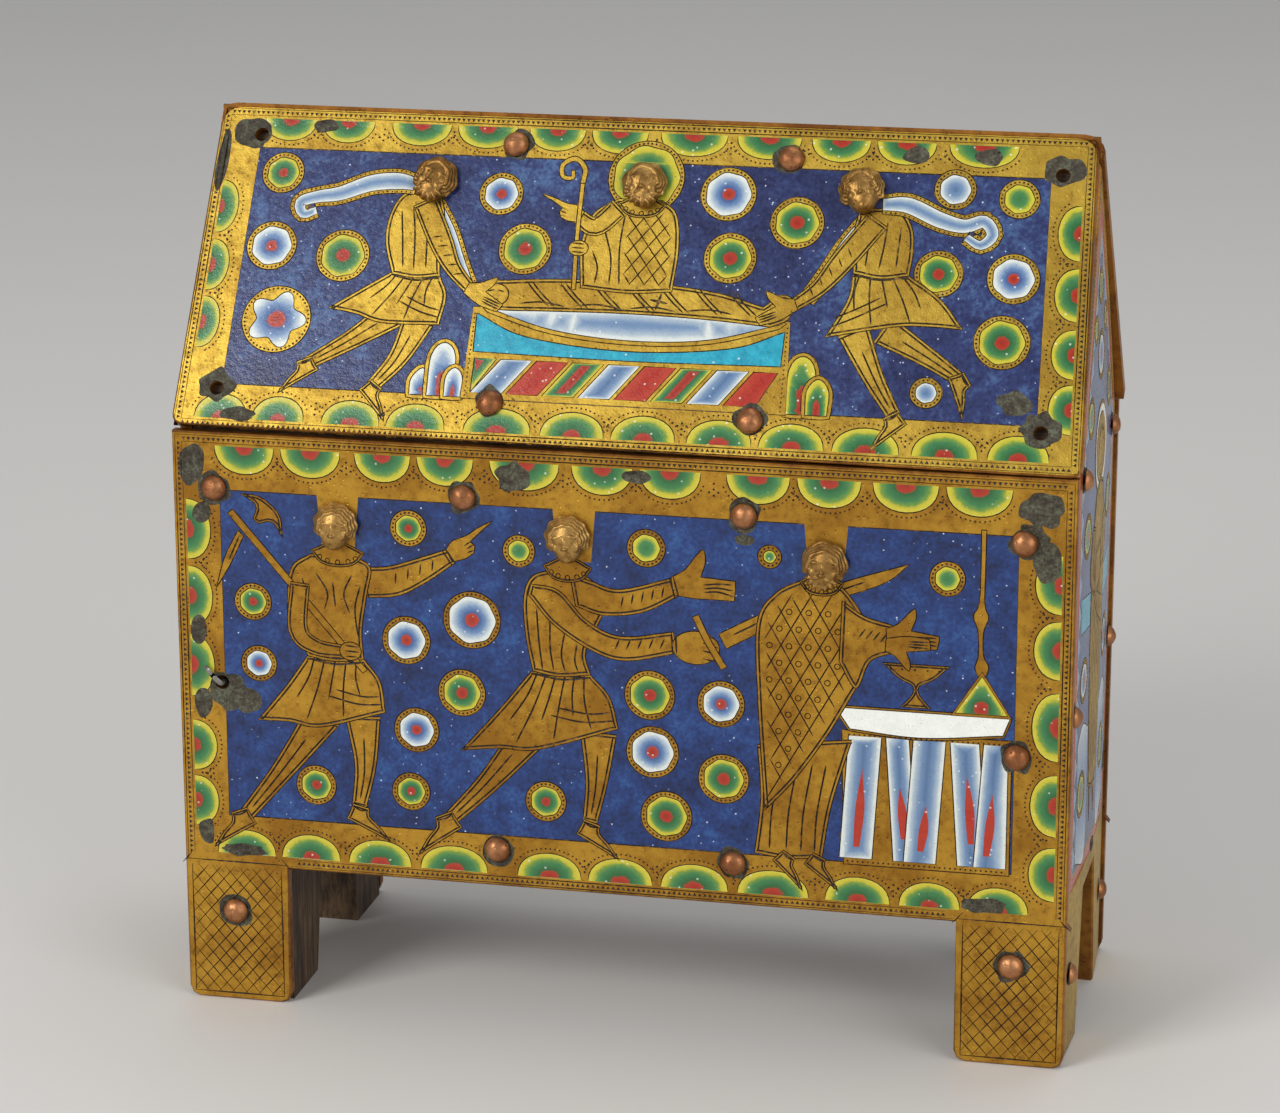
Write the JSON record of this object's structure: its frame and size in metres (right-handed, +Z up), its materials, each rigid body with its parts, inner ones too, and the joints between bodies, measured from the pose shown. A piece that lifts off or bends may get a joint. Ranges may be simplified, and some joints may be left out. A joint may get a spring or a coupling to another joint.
{
  "type": "reliquary casket",
  "caption": "Small house-shaped reliquary casket: an oak core on square feet, sheathed in enamelled gilt copper plates with cast heads.",
  "frame": {"origin": "on the ground under the middle of the whole casket, with its nail heads and cast heads", "axes": "+X to the right along the front plate, +Y from the front to the back, +Z up"},
  "size_m": [0.163, 0.0662, 0.16],
  "materials": {
    "enamelled_front": "gilt copper plate, champleve enamelled in lapis blue, green, yellow, red and white, worn",
    "enamelled_roof": "gilt copper plate, champleve enamelled, bright yellow gilding, losses at its corners",
    "enamelled_back": "gilt copper plate, enamelled with a plain diaper of roundels",
    "enamelled_gable": "gilt copper plate, enamelled, with one standing figure",
    "nail_copper": "domed copper nail heads, rubbed, dark in the angle",
    "cast_gilt": "cast and gilt copper, rubbed to brown",
    "oak": "old oak, dry and dark"
  },
  "bodies": {
    "root": {"back_board": "oak", "back_nail_1": "nail_copper", "back_nail_2": "nail_copper", "back_nail_3": "nail_copper", "back_nail_4": "nail_copper", "back_nail_5": "nail_copper", "back_nail_6": "nail_copper", "back_nail_7": "nail_copper", "back_plate": "enamelled_back", "back_roof_board": "oak", "back_roof_nail_1": "nail_copper", "back_roof_nail_2": "nail_copper", "back_roof_nail_3": "nail_copper", "back_roof_nail_4": "nail_copper", "back_roof_nail_5": "nail_copper", "back_roof_plate": "enamelled_back", "bishop_head": "cast_gilt", "floor_board": "oak", "front_board": "oak", "front_nail_1": "nail_copper", "front_nail_2": "nail_copper", "front_nail_3": "nail_copper", "front_nail_4": "nail_copper", "front_nail_5": "nail_copper", "front_nail_6": "nail_copper", "front_nail_7": "nail_copper", "front_nail_8": "nail_copper", "front_nail_9": "nail_copper", "front_plate": "enamelled_front", "front_roof_board": "oak", "front_roof_nail_1": "nail_copper", "front_roof_nail_2": "nail_copper", "front_roof_nail_3": "nail_copper", "front_roof_nail_4": "nail_copper", "front_roof_plate": "enamelled_roof", "guard_head": "cast_gilt", "left_bearer_head": "cast_gilt", "left_end_board": "oak", "left_gable_nail_1": "nail_copper", "left_gable_nail_2": "nail_copper", "left_gable_nail_3": "nail_copper", "left_gable_nail_4": "nail_copper", "left_gable_nail_5": "nail_copper", "left_gable_nail_6": "nail_copper", "left_gable_plate": "enamelled_gable", "priest_head": "cast_gilt", "right_bearer_head": "cast_gilt", "right_end_board": "oak", "right_gable_nail_1": "nail_copper", "right_gable_nail_2": "nail_copper", "right_gable_nail_3": "nail_copper", "right_gable_nail_4": "nail_copper", "right_gable_nail_5": "nail_copper", "right_gable_nail_6": "nail_copper", "right_gable_plate": "enamelled_gable", "swordsman_head": "cast_gilt"}
  },
  "joints": []
}
